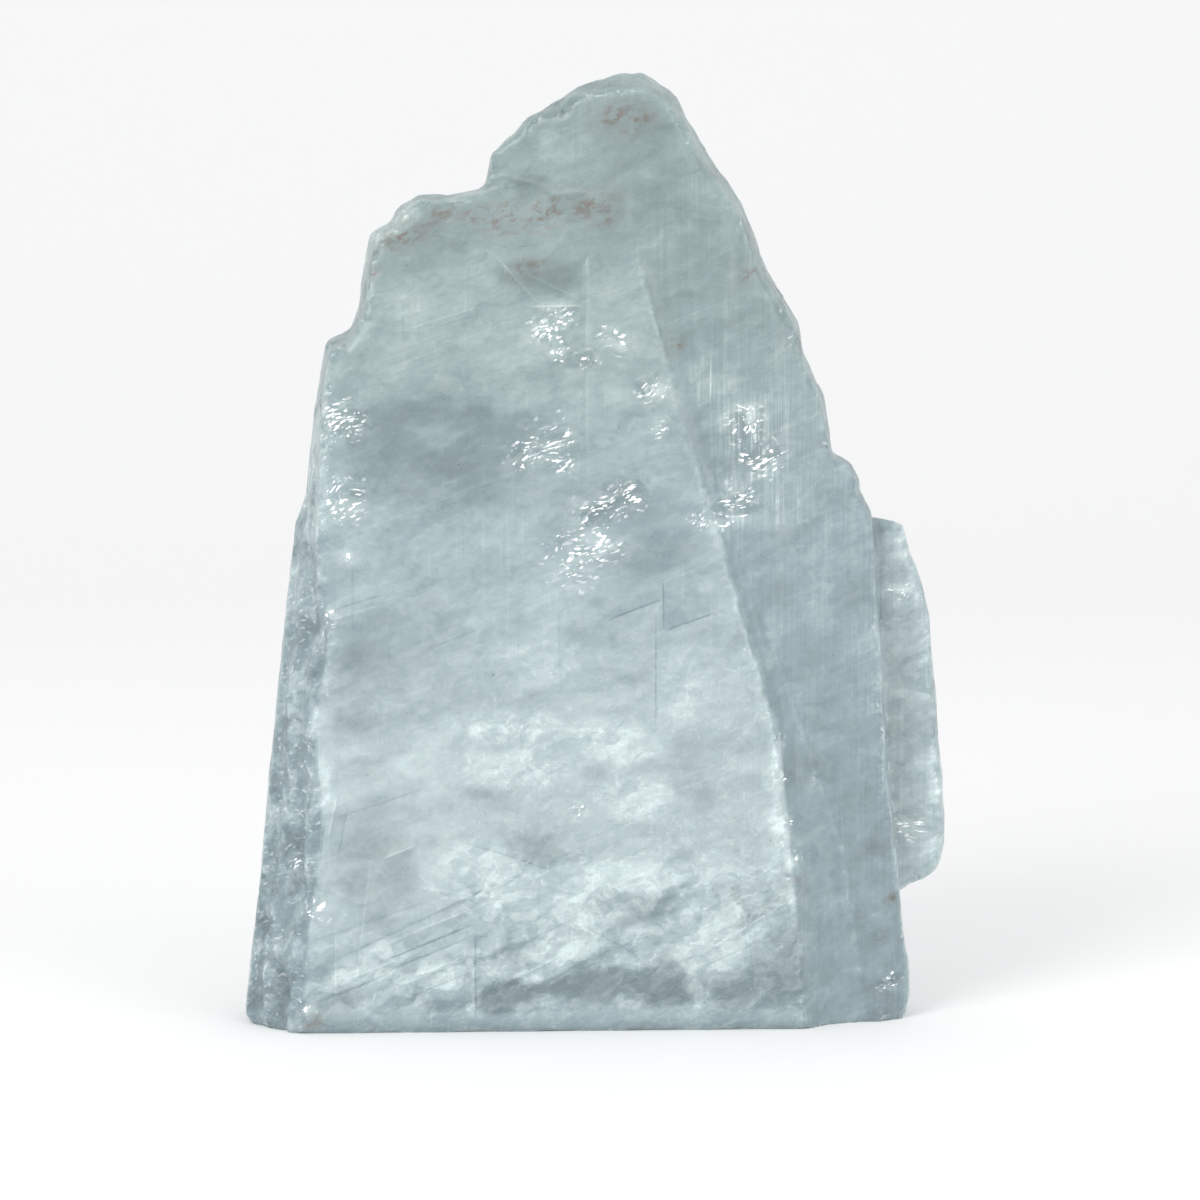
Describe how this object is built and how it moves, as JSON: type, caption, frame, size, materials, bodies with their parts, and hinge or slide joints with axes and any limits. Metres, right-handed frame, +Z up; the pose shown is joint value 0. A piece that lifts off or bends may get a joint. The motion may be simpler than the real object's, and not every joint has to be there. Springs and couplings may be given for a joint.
{
  "type": "selenite slab",
  "caption": "Upright natural slab of milky selenite crystal with a stepped side plate, a pointed top and a sawn flat base.",
  "frame": {"origin": "middle of the bounding box, on the sawn base", "axes": "+Z up through the peak, show face towards -Y, +X to the right-hand side of the show face"},
  "size_m": [0.1406, 0.048, 0.1885],
  "materials": {
    "selenite": "milky translucent crystal, glossy cleavage faces with silky broken edges"
  },
  "bodies": {
    "root": {"selenite_slab": "selenite"}
  },
  "joints": []
}
